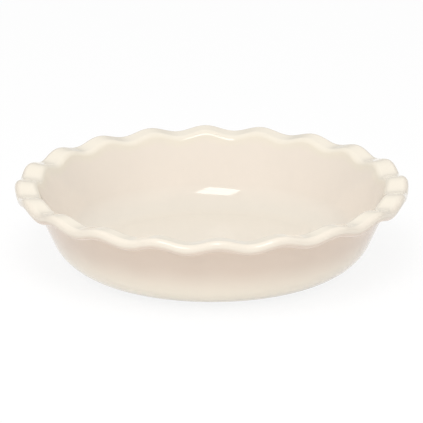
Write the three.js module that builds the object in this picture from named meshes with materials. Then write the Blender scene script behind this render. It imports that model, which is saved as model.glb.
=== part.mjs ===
// A round stoneware baking dish with a waved rim, glazed inside and out, standing on a bare foot ring.
// Millimetres, +Z up. The origin is the centre of the circle that the dish stands on.
import * as THREE from "three";

// The bowl, measured on the finished glaze
const floorDiameter = 158.6; // flat underside, where the outside corner starts to rise
const cornerRadius = 31.6; // outside corner, from the underside to the wall
const insideCornerRadius = 26; // inside corner, from the floor to the wall
const wallLean = 23.6; // degrees that the wall leans out from upright
const wallThickness = 5.5;
const floorThickness = 6.5;

// The rim, measured half way between a crest and a trough of its wave
const rimHeight = 57; // standing plane to the rim's top
const rimOverhang = 11.5; // wall's outside to the rim's edge
const rimThickness = 7.2; // also the depth of its rounded edge
const rimTilt = 6; // degrees that the rim's top rises toward its edge
const rimBendRadius = 5.5; // inside bend, from the wall to the rim's top
const underRimRadius = 3.5; // fillet, from the rim's underside to the wall
const waveCount = 20;
const waveHeight = 3.6; // crest above trough
const waveReach = 0.9; // crest beyond trough, at the rim's edge

// The foot ring of bare clay
const footHeight = 1.2; // standing plane to the finished underside
const footInset = 2.5; // ring's outside, in from the edge of the flat underside
const footWidth = 6;
const footBevel = 0.4; // wiped edges of the ring

// The glaze coat over the clay
const glazeThickness = 0.6;
const glazeGap = 0.3; // clearance between touching solids

// Facets of the round shapes
const facetsPerWave = 6;
const cornerFacets = 4;
const rimBendFacets = 2;
const edgeFacets = 4; // an even count, so that one point is the outermost
const filletFacets = 2;

// Places worked out from the sizes
const lean = THREE.MathUtils.degToRad(wallLean);
const tilt = THREE.MathUtils.degToRad(rimTilt);
const right = Math.PI / 2;
const aroundFacets = waveCount * facetsPerWave;
const floorTop = footHeight + floorThickness;
const rimUnderside = rimHeight - rimThickness;
const edgeRadius = rimThickness / 2;
const footRadius = floorDiameter / 2 - footInset;
const footInnerRadius = footRadius - footWidth;
const clayDepth = glazeThickness + glazeGap;
const clayUnderside = footHeight + clayDepth;
const waveRise = waveHeight / 2;

const corner = new THREE.Vector2(floorDiameter / 2, footHeight + cornerRadius);

// Radius of the wall's outside at a height, along its straight stretch.
function wallRadius(height) {
  const start = corner.x + cornerRadius / Math.cos(lean);
  return start + (height - corner.y) * Math.tan(lean);
}

// Centre of an arc that touches the wall from a given side, at a centre height. Depth is how far
// in from the wall's outside the touched face lies, and side is 1 outside it or -1 inside it.
function besideWall(height, depth, radius, side) {
  return new THREE.Vector2(wallRadius(height) + (side * radius - depth) / Math.cos(lean), height);
}

const insideCorner = besideWall(floorTop + insideCornerRadius, wallThickness, insideCornerRadius, -1);
const underRim = besideWall(rimUnderside - underRimRadius, 0, underRimRadius, 1);
const rimRadius = wallRadius(rimUnderside) + rimOverhang;
const edge = new THREE.Vector2(rimRadius - edgeRadius, rimHeight - edgeRadius);

// Centre of the arc that touches the wall's inside and the rim's tilted top.
function insideRimBend() {
  const run = edge.x - besideWall(edge.y, wallThickness, rimBendRadius, 1).x;
  const slope = Math.cos(tilt) - Math.tan(lean) * Math.sin(tilt);
  const rise = (edgeRadius - rimBendRadius - run * Math.sin(tilt)) / slope;
  return besideWall(edge.y + rise, wallThickness, rimBendRadius, 1);
}

const rimBend = insideRimBend();

// Points of an arc in the dish's section, where x is the radius and y the height.
function arc(centre, radius, from, to, facets) {
  const clockwise = to < from;
  const curve = new THREE.EllipseCurve(centre.x, centre.y, radius, radius, from, to, clockwise);
  return curve.getPoints(facets);
}

// Marks each point with its swing, how far the rim's wave carries it out and up at a crest.
function carried(points, out, up) {
  for (const point of points) {
    point.swing = new THREE.Vector2(out, up);
  }
  return points;
}

// Below the rim nothing waves.
function still(points) {
  return carried(points, 0, 0);
}

// Where the rim grows out of the wall, it rises and falls along the wall's slope.
function alongWall(points) {
  return carried(points, waveRise * Math.tan(lean), waveRise);
}

// The finished surface's section, from the floor's centre up the inside, over the rim's edge, down
// the outside and under to the foot ring.
function finishedSection() {
  const half = edgeFacets / 2;
  const inside = [
    ...still([new THREE.Vector2(0, floorTop)]),
    ...still(arc(insideCorner, insideCornerRadius, -right, -lean, cornerFacets)),
    ...alongWall(arc(rimBend, rimBendRadius, Math.PI - lean, right + tilt, rimBendFacets)),
  ];
  const edgeTop = arc(edge, edgeRadius, right + tilt, 0, half);
  const edgeUnderside = arc(edge, edgeRadius, 0, -right, half);
  const overEdge = carried([...edgeTop, ...edgeUnderside.slice(1)], waveReach / 2, waveRise);
  const outside = [
    ...alongWall(arc(underRim, underRimRadius, right, Math.PI - lean, filletFacets)),
    ...still(arc(corner, cornerRadius, -lean, -right, cornerFacets)),
    ...still([new THREE.Vector2(footRadius + glazeGap, footHeight)]),
  ];
  return {
    inside: [...inside, ...overEdge.slice(0, half + 1)],
    outside: [...overEdge.slice(half), ...outside],
  };
}

// A section moved into the clay by a depth, square to itself, with each point keeping its swing.
function sunk(points, depth) {
  return points.map((point, i) => {
    const before = points[Math.max(i - 1, 0)];
    const after = points[Math.min(i + 1, points.length - 1)];
    const arriving = point.clone().sub(before).normalize();
    const leaving = after.clone().sub(point).normalize();
    const along = arriving.clone().add(leaving).normalize();
    const share = Math.max(along.dot(arriving), along.dot(leaving));
    const moved = new THREE.Vector2(along.y, -along.x).multiplyScalar(depth / share).add(point);
    moved.swing = point.swing;
    return moved;
  });
}

// A closed section turned about +Z, with each point carried through its swing by the rim's wave.
// A coat's section runs against the clay's, so its faces are turned over: coat and clay then fold
// along the same lines and their clearance stays even.
function waved(section, turnedOver) {
  const geometry = new THREE.LatheGeometry(section, aroundFacets);
  if (turnedOver) {
    geometry.getIndex().array.reverse();
  }
  const position = geometry.getAttribute("position");
  for (let i = 0; i < position.count; i += 1) {
    const point = section[i % section.length];
    const turn = (Math.floor(i / section.length) / aroundFacets) * 2 * Math.PI;
    const wave = Math.cos(waveCount * turn);
    const radius = point.x + point.swing.x * wave;
    const height = point.y + point.swing.y * wave;
    position.setXYZ(i, radius * Math.sin(turn), height, radius * Math.cos(turn));
  }
  return geometry.rotateX(right);
}

// The section of a coat, along its outer face and back along its underside.
function coatSection(face, underside) {
  return [...face, ...underside.slice().reverse()];
}

const finished = finishedSection();
const surface = [...finished.inside, ...finished.outside.slice(1)];
const glazeUnderside = sunk(surface, glazeThickness);
const clayFace = sunk(surface, clayDepth);
const split = finished.inside.length - 1; // the rim's outermost point

const bareClay = { color: 0xcebaa0, roughness: 0.85, metalness: 0 };
const creamGlaze = { color: 0xebe2d7, roughness: 0.05, metalness: 0 };
const warmGlaze = { color: 0xe7d9ca, roughness: 0.06, metalness: 0 };

// The fired clay: floor, wall and rim in one piece, with the foot ring that stays bare.
function stonewareBody() {
  const foot = still([
    new THREE.Vector2(footRadius, clayUnderside),
    new THREE.Vector2(footRadius, footBevel),
    new THREE.Vector2(footRadius - footBevel, 0),
    new THREE.Vector2(footInnerRadius + footBevel, 0),
    new THREE.Vector2(footInnerRadius, footBevel),
    new THREE.Vector2(footInnerRadius, clayUnderside),
    new THREE.Vector2(0, clayUnderside),
  ]);
  return waved([...clayFace.slice(0, -1), ...foot].reverse(), false);
}

// The glaze that lines the floor and wall and covers the rim, out to the middle of its edge.
function insideGlaze() {
  const section = coatSection(surface.slice(0, split + 1), glazeUnderside.slice(0, split + 1));
  return waved(section, true);
}

// The glaze from just below the middle of the rim's edge, down the wall and under to the foot ring.
function outsideGlaze() {
  const [face, underside] = [surface, glazeUnderside].map((points) => {
    const coat = points.slice(split);
    const top = coat[0].clone().setY(coat[0].y - glazeGap);
    top.swing = coat[0].swing;
    return [top, ...coat.slice(1)];
  });
  const section = coatSection(face, underside);
  return waved([...section, section[0]], true);
}

// The disc of glaze on the underside, inside the foot ring.
function baseGlaze() {
  const radius = footInnerRadius - glazeGap;
  const section = still([
    new THREE.Vector2(0, footHeight),
    new THREE.Vector2(radius, footHeight),
    new THREE.Vector2(radius, footHeight + glazeThickness),
    new THREE.Vector2(0, footHeight + glazeThickness),
  ]);
  return waved(section, false);
}

const dish = new THREE.Group();

function addPiece(name, geometry, finish) {
  const mesh = new THREE.Mesh(geometry, new THREE.MeshStandardMaterial(finish));
  mesh.name = name;
  dish.add(mesh);
}

addPiece("stoneware_body", stonewareBody(), bareClay);
addPiece("inside_glaze", insideGlaze(), creamGlaze);
addPiece("outside_glaze", outsideGlaze(), warmGlaze);
addPiece("base_glaze", baseGlaze(), warmGlaze);

export default dish;
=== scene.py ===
import math

import bpy
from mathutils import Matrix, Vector


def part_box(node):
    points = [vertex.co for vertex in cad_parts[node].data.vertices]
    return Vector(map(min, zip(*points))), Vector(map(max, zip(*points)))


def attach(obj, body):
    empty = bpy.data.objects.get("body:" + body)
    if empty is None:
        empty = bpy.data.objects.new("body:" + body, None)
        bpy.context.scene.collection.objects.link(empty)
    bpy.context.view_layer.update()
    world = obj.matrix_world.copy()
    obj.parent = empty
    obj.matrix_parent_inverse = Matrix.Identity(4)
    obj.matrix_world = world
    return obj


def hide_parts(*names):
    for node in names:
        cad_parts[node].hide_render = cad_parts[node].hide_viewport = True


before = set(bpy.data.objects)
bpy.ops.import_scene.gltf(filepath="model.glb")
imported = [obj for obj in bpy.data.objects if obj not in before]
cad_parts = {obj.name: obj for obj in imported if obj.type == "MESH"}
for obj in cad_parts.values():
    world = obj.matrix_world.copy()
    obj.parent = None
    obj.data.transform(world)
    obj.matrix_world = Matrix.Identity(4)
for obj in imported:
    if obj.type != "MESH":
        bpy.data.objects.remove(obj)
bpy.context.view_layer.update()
scene = bpy.context.scene
scene.view_settings.view_transform = "Standard"
print("frame loaded:", ", ".join(sorted(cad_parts)))

# the dish's section, in metres and degrees
section = {
    "wallLean": 23.6,
    "wallThickness": 0.0055,
    "cornerRadius": 0.0316,
    "insideCornerRadius": 0.026,
    "rimOverhang": 0.0115,
    "rimThickness": 0.0072,
    "rimTilt": 6.0,
    "rimBendRadius": 0.0055,
    "underRimRadius": 0.0035,
    "waveCount": 20,
    "waveHeight": 0.0036,
    "waveReach": 0.0009,
    "glazeThickness": 0.0006,
    "clayClearance": 0.00005,  # between the clay and its coats
}

# places read from the solids
linerLow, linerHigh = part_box("inside_glaze")
discLow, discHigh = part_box("base_glaze")
lean = math.radians(section["wallLean"])
rimRadius = linerHigh.x - section["waveReach"] / 2
rimHeight = linerHigh.z - section["waveHeight"] / 2
floorTop = linerLow.z + section["glazeThickness"]
underside = discLow.z
edgeRadius = section["rimThickness"] / 2
rimUnderside = rimHeight - section["rimThickness"]


def wallRadius(height):  # outside of the wall
    top = rimRadius - section["rimOverhang"]
    return top + (height - rimUnderside) * math.tan(lean)


def besideWall(height, depth, radius, side):  # centre of an arc that touches the wall
    return wallRadius(height) + (side * radius - depth) / math.cos(lean), height


corner = besideWall(underside + section["cornerRadius"], 0, section["cornerRadius"], -1)
insideCorner = besideWall(
    floorTop + section["insideCornerRadius"],
    section["wallThickness"], section["insideCornerRadius"], -1)
underRim = besideWall(rimUnderside - section["underRimRadius"], 0, section["underRimRadius"], 1)
edge = rimRadius - edgeRadius, rimHeight - edgeRadius


def bendCentre(depth, radius, tilt):  # of the arc from the wall's inside to the rim's tilted top
    run = edge[0] - besideWall(edge[1], depth, radius, 1)[0]
    slope = math.cos(tilt) - math.tan(lean) * math.sin(tilt)
    rise = (edgeRadius - radius - run * math.sin(tilt)) / slope
    return besideWall(edge[1] + rise, depth, radius, 1)


rimBend = bendCentre(
    section["wallThickness"], section["rimBendRadius"], math.radians(section["rimTilt"]))

# swings: how far the wave carries a point out and up at a crest
still = (0.0, 0.0)
alongWall = (section["waveHeight"] / 2 * math.tan(lean), section["waveHeight"] / 2)
atEdge = (section["waveReach"] / 2, section["waveHeight"] / 2)


def arc(centre, radius, start, end, facets, swing=still):  # angles in degrees
    turns = [math.radians(start + (end - start) * i / max(facets, 1)) for i in range(facets + 1)]
    r, z = centre
    return [(r + radius * math.cos(t), z + radius * math.sin(t), *swing) for t in turns]


def between(start, end, steps):  # points of a straight stretch, without its ends
    return [tuple(a + (b - a) * i / steps for a, b in zip(start, end)) for i in range(1, steps)]


def joined(*stretches):  # stretches end to end, with straight runs filled in
    points = list(stretches[0])
    for stretch, steps in stretches[1:]:
        points += between(points[-1], stretch[0], steps) + list(stretch)
    return points


def sunk(points, depth):  # the section moved square to itself into the clay
    moved = []
    for i, (r, z, out, up) in enumerate(points):
        before, after = points[max(i - 1, 0)], points[min(i + 1, len(points) - 1)]
        dr, dz = after[0] - before[0], after[1] - before[1]
        length = math.hypot(dr, dz)
        moved.append((r + depth * dz / length, z - depth * dr / length, out, up))
    return moved


leanTurn = section["wallLean"]
topTurn = 90 + section["rimTilt"]
seamTurn = 0.4  # degrees: a narrow facet each side of the seam keeps the sheen unbroken

# how finely the pieces are cut: facets of an arc, steps of a straight run, facets round the dish
cuts = {"corner": 28, "bend": 18, "edge": 20, "fillet": 16, "bead": 8}
runs = {"floor": 10, "wall": 8, "rim": 6, "seam": 1, "disc": 6}
around = {"glaze": 480, "disc": 240, "clay": 240}

insideCornerArc = arc(insideCorner, section["insideCornerRadius"], -90, -leanTurn, cuts["corner"])
bendArc = arc(rimBend, section["rimBendRadius"], 180 - leanTurn, topTurn, cuts["bend"], alongWall)
edgeTopArc = arc(edge, edgeRadius, topTurn, seamTurn, cuts["edge"], atEdge)
seam = arc(edge, edgeRadius, 0, 0, 0, atEdge)  # the rim's outermost point
edgeUnderArc = arc(edge, edgeRadius, -seamTurn, -90, cuts["edge"], atEdge)
filletArc = arc(underRim, section["underRimRadius"], 90, 180 - leanTurn, cuts["fillet"], alongWall)
cornerArc = arc(corner, section["cornerRadius"], -leanTurn, -90, cuts["corner"])
insideFace = joined(
    [(0.0, floorTop, *still)],
    (insideCornerArc, runs["floor"]),
    (bendArc, runs["wall"]),
    (edgeTopArc, runs["rim"]),
    (seam, runs["seam"]),
)
outsideFace = joined(
    seam,
    (edgeUnderArc, runs["seam"]),
    (filletArc, runs["rim"]),
    (cornerArc, runs["wall"]),
)
print("section cut:", len(insideFace), "points inside,", len(outsideFace), "outside")


def newNode(tree, kind, **settings):
    made = tree.nodes.new(kind)
    for key, value in settings.items():
        if key in made.inputs:
            made.inputs[key].default_value = value
        else:
            setattr(made, key, value)
    return made


def feed(tree, socket, value):  # a link, or a plain value
    if hasattr(value, "links"):
        tree.links.new(value, socket)
    else:
        socket.default_value = value


def sums(tree, operation, *values, kind="ShaderNodeMath"):
    made = newNode(tree, kind, operation=operation)
    for socket, value in zip(made.inputs, values):
        feed(tree, socket, value)
    return made.outputs[0]


turning = {"weld": 1e-6, "sharpAngle": 40}  # metres and degrees


def turnedTree():  # a section turned about the dish's axis, its rim carried up and down by the wave
    tree = bpy.data.node_groups.new("turned with waves", "GeometryNodeTree")
    face = tree.interface
    face.new_socket("Geometry", in_out="INPUT", socket_type="NodeSocketGeometry")
    for name, kind in (("Section", "NodeSocketObject"), ("Facets Around", "NodeSocketInt"),
                       ("Waves", "NodeSocketInt"), ("Finish", "NodeSocketMaterial")):
        face.new_socket(name, in_out="INPUT", socket_type=kind)
    face.new_socket("Geometry", in_out="OUTPUT", socket_type="NodeSocketGeometry")

    def node(kind, **settings):
        return newNode(tree, kind, **settings)

    def whole(operation, a, b):
        return sums(tree, operation, a, b, kind="FunctionNodeIntegerMath")

    given = node("NodeGroupInput").outputs
    profile = node("GeometryNodeObjectInfo")
    tree.links.new(given["Section"], profile.inputs["Object"])
    count = node("GeometryNodeAttributeDomainSize")
    tree.links.new(profile.outputs["Geometry"], count.inputs["Geometry"])
    points = count.outputs["Point Count"]

    sheet = node("GeometryNodeMeshGrid")
    tree.links.new(whole("ADD", given["Facets Around"], 1), sheet.inputs["Vertices X"])
    tree.links.new(points, sheet.inputs["Vertices Y"])
    index = node("GeometryNodeInputIndex").outputs[0]
    row = whole("MODULO", index, points)
    column = whole("DIVIDE_FLOOR", index, points)

    def atRow(value):  # a value of the section's point that this row of the sheet follows
        taken = node("GeometryNodeSampleIndex", data_type="FLOAT_VECTOR", domain="POINT")
        tree.links.new(profile.outputs["Geometry"], taken.inputs["Geometry"])
        tree.links.new(value, taken.inputs["Value"])
        tree.links.new(row, taken.inputs["Index"])
        parts = node("ShaderNodeSeparateXYZ")
        tree.links.new(taken.outputs[0], parts.inputs[0])
        return parts.outputs

    carried = node("GeometryNodeInputNamedAttribute", data_type="FLOAT_VECTOR")
    carried.inputs["Name"].default_value = "swing"
    spot = atRow(node("GeometryNodeInputPosition").outputs[0])
    swing = atRow(carried.outputs["Attribute"])

    share = sums(tree, "DIVIDE", column, given["Facets Around"])  # of a full turn
    turn = sums(tree, "MULTIPLY", share, 2 * math.pi)
    wave = sums(tree, "COSINE", sums(tree, "MULTIPLY", turn, given["Waves"]))
    radius = sums(tree, "ADD", spot["X"], sums(tree, "MULTIPLY", swing["X"], wave))
    height = sums(tree, "ADD", spot["Z"], sums(tree, "MULTIPLY", swing["Z"], wave))
    where = node("ShaderNodeCombineXYZ")
    tree.links.new(sums(tree, "MULTIPLY", radius, sums(tree, "COSINE", turn)), where.inputs["X"])
    tree.links.new(sums(tree, "MULTIPLY", radius, sums(tree, "SINE", turn)), where.inputs["Y"])
    tree.links.new(height, where.inputs["Z"])

    chain = sheet.outputs["Mesh"]
    kept = node("GeometryNodeStoreNamedAttribute", data_type="FLOAT", domain="POINT")
    kept.inputs["Name"].default_value = "restHeight"  # before the wave: the glaze follows it
    tree.links.new(spot["Z"], kept.inputs["Value"])
    moved = node("GeometryNodeSetPosition")
    tree.links.new(where.outputs[0], moved.inputs["Position"])
    closed = node("GeometryNodeMergeByDistance")
    closed.inputs["Distance"].default_value = turning["weld"]
    smooth = node("GeometryNodeSetShadeSmooth")
    real = node("GeometryNodeRealizeInstances")
    finish = node("GeometryNodeSetMaterial")
    tree.links.new(given["Finish"], finish.inputs["Material"])
    for step in (kept, moved, closed, smooth, real, finish):
        tree.links.new(chain, step.inputs[0])
        chain = step.outputs[0]
    tree.links.new(chain, node("NodeGroupOutput").inputs[0])
    return tree


turned = turnedTree()


def turnedPiece(name, points, facets, material):
    mesh = bpy.data.meshes.new(name + "Section")
    mesh.from_pydata([(r, 0.0, z) for r, z, out, up in points], [], [])
    swing = mesh.attributes.new("swing", "FLOAT_VECTOR", "POINT")
    for mark, (r, z, out, up) in zip(swing.data, points):
        mark.vector = (out, 0.0, up)
    profile = bpy.data.objects.new(name + "Section", mesh)
    scene.collection.objects.link(profile)

    host = bpy.data.objects.new(name + "Host", bpy.data.meshes.new(name + "Host"))
    scene.collection.objects.link(host)
    modifier = host.modifiers.new("turn", "NODES")
    modifier.node_group = turned
    values = {
        "Section": profile,
        "Facets Around": facets,
        "Waves": section["waveCount"],
        "Finish": material,
    }
    for item in turned.interface.items_tree:
        if item.in_out == "INPUT" and item.name in values:
            modifier[item.identifier] = values[item.name]
    depsgraph = bpy.context.evaluated_depsgraph_get()
    made = bpy.data.meshes.new_from_object(host.evaluated_get(depsgraph))
    made.name = name
    made.set_sharp_from_angle(angle=math.radians(turning["sharpAngle"]))
    for spare in (host, profile):
        bpy.data.objects.remove(spare)
    piece = bpy.data.objects.new(name, made)
    scene.collection.objects.link(piece)
    print(name, "has", len(made.polygons), "faces")
    return piece


def dress(piece, node):
    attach(piece, "root")
    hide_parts(node)


def newMaterial(name):
    material = bpy.data.materials.new(name)
    material.use_nodes = True
    material.node_tree.nodes.clear()
    return material


def blend(tree, share, first, second):  # two colours
    made = newNode(tree, "ShaderNodeMix", data_type="RGBA")
    for socket, value in {0: share, 6: first, 7: second}.items():  # its factor and two colours
        feed(tree, made.inputs[socket], value)
    return made.outputs[2]


def ease(tree, value, low, high, out=(0.0, 1.0)):  # a soft step
    made = newNode(tree, "ShaderNodeMapRange", interpolation_type="SMOOTHSTEP")
    for socket, part in zip(made.inputs, (value, low, high, *out)):
        feed(tree, socket, part)
    return made.outputs[0]


def noise(tree, place, scale, detail):
    made = newNode(tree, "ShaderNodeTexNoise", Scale=scale, Detail=detail, Roughness=0.55)
    tree.links.new(place, made.inputs["Vector"])
    return made.outputs["Fac"]


# grain of the fired glaze: each noise's scale and detail, and how strongly it works
glazeGrain = {
    "cloud": (24.0, 3.0),
    "fine": (210.0, 2.0),
    "peel": (75.0, 1.0),
    "unevenLine": 0.004,  # metres that a change of tone wanders
    "fineShare": 0.3,
    "fineRange": (0.3, 0.7),
    "fineRelief": 0.08,
    "hazeFall": 4.0,
    "speckCells": 240.0,
    "speckLeast": 0.03,
    "speckSpread": 0.05,
    "speckCore": 0.5,
    "speckDepth": 0.6,
}


def firedGlazeGroup():  # cream glaze, toned apart on the rim and low down, clouded and specked; the looks use the low tone as painted shade on the floor and painted light by the foot, and darken the rim's outermost edge as painted shade
    tree = bpy.data.node_groups.new("fired glaze", "ShaderNodeTree")
    face = tree.interface
    for name in ("Deep", "Rim", "Edge", "Low", "Speck"):
        face.new_socket(name, in_out="INPUT", socket_type="NodeSocketColor")
    for name in ("Rim From", "Rim To", "Edge From", "Edge To", "Low From", "Low To",
                 "Clouding", "Speck Share", "Gloss Least", "Gloss Most", "Low Haze"):
        face.new_socket(name, in_out="INPUT", socket_type="NodeSocketFloat")
    for name, kind in (("Color", "Color"), ("Roughness", "Float"), ("Height", "Float")):
        face.new_socket(name, in_out="OUTPUT", socket_type="NodeSocket" + kind)
    given = newNode(tree, "NodeGroupInput").outputs
    result = newNode(tree, "NodeGroupOutput").inputs
    place = newNode(tree, "ShaderNodeTexCoord").outputs["Object"]
    cloud = sums(tree, "SUBTRACT", noise(tree, place, *glazeGrain["cloud"]), 0.5)
    fine = noise(tree, place, *glazeGrain["fine"])
    peel = noise(tree, place, *glazeGrain["peel"])

    height = newNode(tree, "ShaderNodeAttribute", attribute_name="restHeight").outputs["Fac"]
    level = sums(tree, "MULTIPLY_ADD", cloud, glazeGrain["unevenLine"], height)
    rim = ease(tree, level, given["Rim From"], given["Rim To"])
    tone = blend(tree, rim, given["Deep"], given["Rim"])
    low = ease(tree, level, given["Low From"], given["Low To"])
    tone = blend(tree, low, tone, given["Low"])
    flat = newNode(tree, "ShaderNodeVectorMath", operation="MULTIPLY")
    flat.inputs[1].default_value = (1.0, 1.0, 0.0)
    tree.links.new(place, flat.inputs[0])
    reach = newNode(tree, "ShaderNodeVectorMath", operation="LENGTH")
    tree.links.new(flat.outputs[0], reach.inputs[0])
    edgeShade = ease(tree, reach.outputs["Value"], given["Edge From"], given["Edge To"])
    tone = blend(tree, edgeShade, tone, given["Edge"])  # painted shade: darker on the rim's outermost edge

    grade = newNode(tree, "ShaderNodeHueSaturation")
    share = glazeGrain["fineShare"]
    patch = sums(tree, "ADD", cloud, sums(tree, "MULTIPLY_ADD", fine, share, -share / 2))
    tree.links.new(sums(tree, "MULTIPLY_ADD", patch, given["Clouding"], 1.0), grade.inputs["Value"])
    tree.links.new(tone, grade.inputs["Color"])

    cells = newNode(tree, "ShaderNodeTexVoronoi", Scale=glazeGrain["speckCells"])
    tree.links.new(place, cells.inputs["Vector"])
    pick = newNode(tree, "ShaderNodeSeparateColor")
    tree.links.new(cells.outputs["Color"], pick.inputs[0])
    present = sums(tree, "LESS_THAN", pick.outputs["Red"], given["Speck Share"])
    size = sums(tree, "MULTIPLY_ADD", pick.outputs["Green"],
                glazeGrain["speckSpread"], glazeGrain["speckLeast"])
    core = sums(tree, "MULTIPLY", size, glazeGrain["speckCore"])
    dot = sums(tree, "SUBTRACT", 1.0, ease(tree, cells.outputs["Distance"], core, size))
    mark = sums(tree, "MULTIPLY", sums(tree, "MULTIPLY", dot, present), glazeGrain["speckDepth"])
    tree.links.new(blend(tree, mark, grade.outputs[0], given["Speck"]), result["Color"])
    gloss = ease(tree, fine, *glazeGrain["fineRange"], (given["Gloss Least"], given["Gloss Most"]))
    dulled = sums(tree, "POWER", low, glazeGrain["hazeFall"])  # by use, on the floor
    haze = sums(tree, "MULTIPLY", dulled, given["Low Haze"])
    tree.links.new(sums(tree, "ADD", gloss, haze), result["Roughness"])
    relief = sums(tree, "MULTIPLY_ADD", fine, glazeGrain["fineRelief"], peel)
    tree.links.new(relief, result["Height"])
    return tree


firedGlaze = firedGlazeGroup()

# tones of the coats: From and To are heights, and for the edge distances out, in metres
insideLook = {
    "Deep": (0.834, 0.758, 0.672, 1.0),
    "Rim": (0.828, 0.765, 0.655, 1.0),
    "Rim From": 0.047,
    "Rim To": 0.0534,
    # the edge tone is darker than the rim's: painted shade on the rim's outermost edge
    "Edge": (0.786, 0.717, 0.617, 1.0),
    "Edge From": 0.1285,
    "Edge To": 0.1305,
    "Low": (0.733, 0.679, 0.594, 1.0),  # darker on the floor: painted shade
    "Low From": 0.026,
    "Low To": 0.0085,
    "Clouding": 0.05,
    "Speck": (0.45, 0.32, 0.20, 1.0),
    "Speck Share": 0.05,
    "Gloss Least": 0.02,
    "Gloss Most": 0.04,
    "Low Haze": 0.2,
}
outsideLook = {
    # Deep and Rim here are darker and warmer than inside: painted shade on the outside wall and the
    # lip's underside
    "Deep": (0.736, 0.621, 0.523, 1.0),
    "Rim": (0.768, 0.692, 0.594, 1.0),
    "Rim From": 0.0512,
    "Rim To": 0.0534,
    "Edge": (0.768, 0.692, 0.594, 1.0),
    "Edge From": 1.0,  # beyond the rim, so never reached
    "Edge To": 2.0,
    "Low": (0.94, 0.877, 0.76, 1.0),  # paler towards the foot: painted light, as bounced up from the floor
    "Low From": 0.036,
    "Low To": 0.008,
    "Clouding": 0.06,
    "Speck": (0.45, 0.32, 0.20, 1.0),
    "Speck Share": 0.06,
    "Gloss Least": 0.04,
    "Gloss Most": 0.08,
    "Low Haze": 0.0,
}


def glazeMaterial(name, look):
    material = newMaterial(name)
    tree = material.node_tree
    coat = newNode(tree, "ShaderNodeGroup", node_tree=firedGlaze)
    for key, value in look.items():
        coat.inputs[key].default_value = value
    skin = newNode(tree, "ShaderNodeBump", Strength=0.06, Distance=0.0004)
    tree.links.new(coat.outputs["Height"], skin.inputs["Height"])
    shader = newNode(tree, "ShaderNodeBsdfPrincipled", IOR=1.5)
    tree.links.new(coat.outputs["Color"], shader.inputs["Base Color"])
    tree.links.new(coat.outputs["Roughness"], shader.inputs["Roughness"])
    tree.links.new(skin.outputs[0], shader.inputs["Normal"])
    out = newNode(tree, "ShaderNodeOutputMaterial")
    tree.links.new(shader.outputs[0], out.inputs[0])
    return material


clayLook = {
    "buff": (0.66, 0.53, 0.38, 1.0),
    "toasted": (0.50, 0.36, 0.23, 1.0),  # flashed by the kiln
    "grog": (0.80, 0.72, 0.60, 1.0),
    "grain": (900.0, 3.0),  # scale and detail
    "patches": (38.0, 3.0),
    "patchRange": (0.35, 0.75),
    "grogRange": (0.58, 0.72),
    "grogDepth": 0.7,
    "gritRange": (0.3, 0.7),
    "roughness": (0.78, 0.92),
}


def clayMaterial():  # bare fired clay: toasted in patches, gritty
    material = newMaterial("bare stoneware")
    tree = material.node_tree
    place = newNode(tree, "ShaderNodeTexCoord").outputs["Object"]
    patches = ease(tree, noise(tree, place, *clayLook["patches"]), *clayLook["patchRange"])
    grit = noise(tree, place, *clayLook["grain"])
    tone = blend(tree, patches, clayLook["buff"], clayLook["toasted"])
    grog = ease(tree, grit, *clayLook["grogRange"], (0.0, clayLook["grogDepth"]))
    tone = blend(tree, grog, tone, clayLook["grog"])
    skin = newNode(tree, "ShaderNodeBump", Strength=0.5, Distance=0.0003)
    tree.links.new(grit, skin.inputs["Height"])
    shader = newNode(tree, "ShaderNodeBsdfPrincipled", IOR=1.45)
    tree.links.new(tone, shader.inputs["Base Color"])
    dullness = ease(tree, grit, *clayLook["gritRange"], clayLook["roughness"])
    tree.links.new(dullness, shader.inputs["Roughness"])
    tree.links.new(skin.outputs[0], shader.inputs["Normal"])
    out = newNode(tree, "ShaderNodeOutputMaterial")
    tree.links.new(shader.outputs[0], out.inputs[0])
    return material


insideFinish = glazeMaterial("inside glaze", insideLook)
outsideFinish = glazeMaterial("outside glaze", outsideLook)
clayFinish = clayMaterial()
print("finishes made:", insideFinish.name, outsideFinish.name, clayFinish.name)

# the coats: out along the glaze's face, back along its underside
glazeDepth = section["glazeThickness"]
insideBack = sunk(insideFace, glazeDepth)
insideBack[-1] = (insideFace[-1][0] - glazeDepth, *insideFace[-1][1:])
insideLoop = insideFace + insideBack[::-1]
insideCoat = turnedPiece("insideGlaze", insideLoop, around["glaze"], insideFinish)
dress(insideCoat, "inside_glaze")

foot = {"gap": 0.0003, "width": 0.006, "bevel": 0.0004}
footInner = discHigh.x + foot["gap"]
footOuter = footInner + foot["width"]
glazeEnd = footOuter + foot["gap"]
beadRadius = glazeDepth / 2  # the rounded end of a coat
outsideFace.append((glazeEnd + beadRadius, underside, *still))
outsideBack = sunk(outsideFace, glazeDepth)
outsideBack[0] = (outsideFace[0][0] - glazeDepth, *outsideFace[0][1:])
beadCentre = glazeEnd + beadRadius, underside + beadRadius
bead = arc(beadCentre, beadRadius, 270, 90, cuts["bead"])[1:-1]
outsideLoop = outsideFace + bead + outsideBack[::-1]
outsideLoop.append(outsideLoop[0])
outsideCoat = turnedPiece("outsideGlaze", outsideLoop, around["glaze"], outsideFinish)
dress(outsideCoat, "outside_glaze")

discCentre = discHigh.x - beadRadius, discLow.z + beadRadius
discLoop = joined(
    [(0.0, discLow.z, *still)],
    (arc(discCentre, beadRadius, -90, 90, cuts["bead"]), runs["disc"]),
    ([(0.0, discHigh.z, *still)], runs["disc"]),
)
baseDisc = turnedPiece("baseGlaze", discLoop[::-1], around["disc"], outsideFinish)
dress(baseDisc, "base_glaze")

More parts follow.
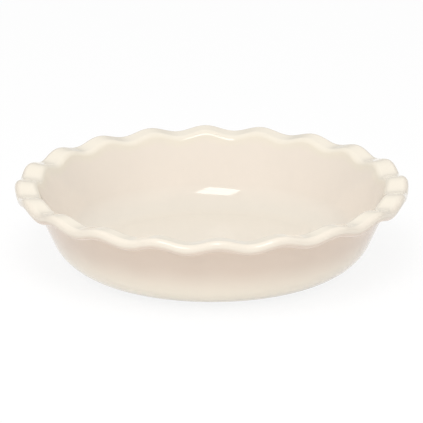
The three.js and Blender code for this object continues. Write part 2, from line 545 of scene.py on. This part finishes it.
clayDepth = glazeDepth + section["clayClearance"]
clayInside = sunk(insideFace, clayDepth)[:-1]
clayOutside = sunk(outsideFace, clayDepth)[:-1]
clayFloor = underside + clayDepth
footLoop = [
    (footOuter, clayFloor, *still),
    (footOuter, foot["bevel"], *still),
    (footOuter - foot["bevel"], 0.0, *still),
    (footInner + foot["bevel"], 0.0, *still),
    (footInner, foot["bevel"], *still),
    (footInner, clayFloor, *still),
    (0.0, clayFloor, *still),
]
clayLoop = clayInside + clayOutside + footLoop
clayBody = turnedPiece("stonewareBody", clayLoop, around["clay"], clayFinish)
dress(clayBody, "stoneware_body")

# camera, fitted to the photograph's outline and waves: degrees, metres and pixels
view = {
    "azimuth": -2.1,
    "elevation": 18.12,
    "distance": 1.893,
    "focalPixels": 2789.0,
    "framePixels": 423.0,
    "sensor": 36.0,  # millimetres
    "aimHeight": 0.0358,
    "aimSide": -0.0003,
}


def makeCamera():
    azimuth, elevation = math.radians(view["azimuth"]), math.radians(view["elevation"])
    level = math.cos(elevation)
    back = Vector((math.sin(azimuth) * level, -math.cos(azimuth) * level, math.sin(elevation)))
    side = Vector((math.cos(azimuth), math.sin(azimuth), 0.0))
    data = bpy.data.cameras.new("photo view")
    data.sensor_width = view["sensor"]
    data.lens = data.sensor_width * view["focalPixels"] / view["framePixels"]
    camera = bpy.data.objects.new("photo view", data)
    aim = Vector((0.0, 0.0, view["aimHeight"])) + side * view["aimSide"]
    camera.location = aim + back * view["distance"]
    camera.rotation_mode = "QUATERNION"
    camera.rotation_quaternion = (-back).to_track_quat("-Z", "Y")
    scene.collection.objects.link(camera)
    scene.camera = camera


makeCamera()
print("camera set:", scene.camera.name)

# lamps: direction from the dish, distance, size across, turn in degrees and power
lamps = {
    "softbox": {
        "toward": (-0.08, -0.50, 0.866),
        "distance": 1.3,
        "size": (0.5, 0.5),
        "turn": -28,
        "power": 4.5,
        "inSheen": True,  # mirrored by the glaze
    },
    "key": {
        "toward": (-0.09, -0.62, 0.77),
        "distance": 2.7,
        "size": (1.8, 1.8),
        "turn": 0,
        "power": 19.3,
        "inSheen": False,
    },
}
# strengths of the dome of light, and the heights on it between which they change
dome = {"horizon": 0.69, "low": 0.37, "high": 0.82, "lowFade": (0.0, 0.25), "highFade": (0.15, 0.8)}


def makeLamp(name, look):
    data = bpy.data.lights.new(name, "AREA")
    data.shape = "RECTANGLE"
    data.size, data.size_y = look["size"]
    data.energy = look["power"]
    lamp = bpy.data.objects.new(name, data)
    toward = Vector(look["toward"]).normalized()
    lamp.location = toward * look["distance"]
    lamp.rotation_mode = "QUATERNION"
    turn = math.radians(look["turn"])
    across = Vector((math.cos(turn), math.sin(turn), 0.0))
    spin = Vector((0.0, 0.0, 1.0)).rotation_difference(toward)
    lamp.rotation_quaternion = spin @ Vector((1.0, 0.0, 0.0)).rotation_difference(across)
    lamp.visible_glossy = look["inSheen"]
    scene.collection.objects.link(lamp)


for lampName, lampLook in lamps.items():
    makeLamp(lampName, lampLook)


def makeWorld():
    world = bpy.data.worlds.new("studio")
    world.use_nodes = True
    tree = world.node_tree
    tree.nodes.clear()
    parts = newNode(tree, "ShaderNodeSeparateXYZ")
    tree.links.new(newNode(tree, "ShaderNodeTexCoord").outputs["Generated"], parts.inputs[0])
    light = newNode(tree, "ShaderNodeBackground")
    light.inputs["Color"].default_value = (1.0, 1.0, 1.0, 1.0)
    height = parts.outputs["Z"]
    lower = ease(tree, height, *dome["lowFade"], (dome["horizon"], dome["low"]))
    upper = ease(tree, height, *dome["highFade"], (0.0, dome["high"] - dome["low"]))
    tree.links.new(sums(tree, "ADD", lower, upper), light.inputs["Strength"])
    out = newNode(tree, "ShaderNodeOutputWorld")
    tree.links.new(light.outputs[0], out.inputs[0])
    scene.world = world


makeWorld()
print("lit by:", ", ".join(lamps), "and the dome")

floorLook = {
    "radius": 12.0,
    "sides": 96,
    "drop": 0.00005,  # clear of the foot ring
    "white": (0.95, 0.95, 0.95, 1.0),
    "lift": 0.87,  # share of plain white where it is seen
}


def seenOrMirrored(tree):  # 1 for rays that show the background, straight or in a reflection
    path = newNode(tree, "ShaderNodeLightPath").outputs
    mirrored = sums(tree, "MAXIMUM", path["Is Glossy Ray"], path["Is Transmission Ray"])
    return sums(tree, "MAXIMUM", path["Is Camera Ray"], mirrored)


def makeFloor():
    mesh = bpy.data.meshes.new("floor")
    radius, sides = floorLook["radius"], floorLook["sides"]
    turns = [2 * math.pi * i / sides for i in range(sides)]
    rim = [(radius * math.cos(t), radius * math.sin(t), -floorLook["drop"]) for t in turns]
    mesh.from_pydata(rim, [], [tuple(range(sides))])
    material = newMaterial("pale floor")
    tree = material.node_tree
    paint = newNode(tree, "ShaderNodeBsdfDiffuse")
    paint.inputs["Color"].default_value = floorLook["white"]
    glow = newNode(tree, "ShaderNodeEmission", Strength=1.0)
    glow.inputs["Color"].default_value = (1.0, 1.0, 1.0, 1.0)
    mix = newNode(tree, "ShaderNodeMixShader")
    tree.links.new(sums(tree, "MULTIPLY", seenOrMirrored(tree), floorLook["lift"]), mix.inputs[0])
    out = newNode(tree, "ShaderNodeOutputMaterial")
    tree.links.new(paint.outputs[0], mix.inputs[1])
    tree.links.new(glow.outputs[0], mix.inputs[2])
    tree.links.new(mix.outputs[0], out.inputs[0])
    floor = bpy.data.objects.new("floor", mesh)
    mesh.materials.append(material)
    scene.collection.objects.link(floor)


makeFloor()
print("floor laid:", floorLook["radius"], "m in radius")
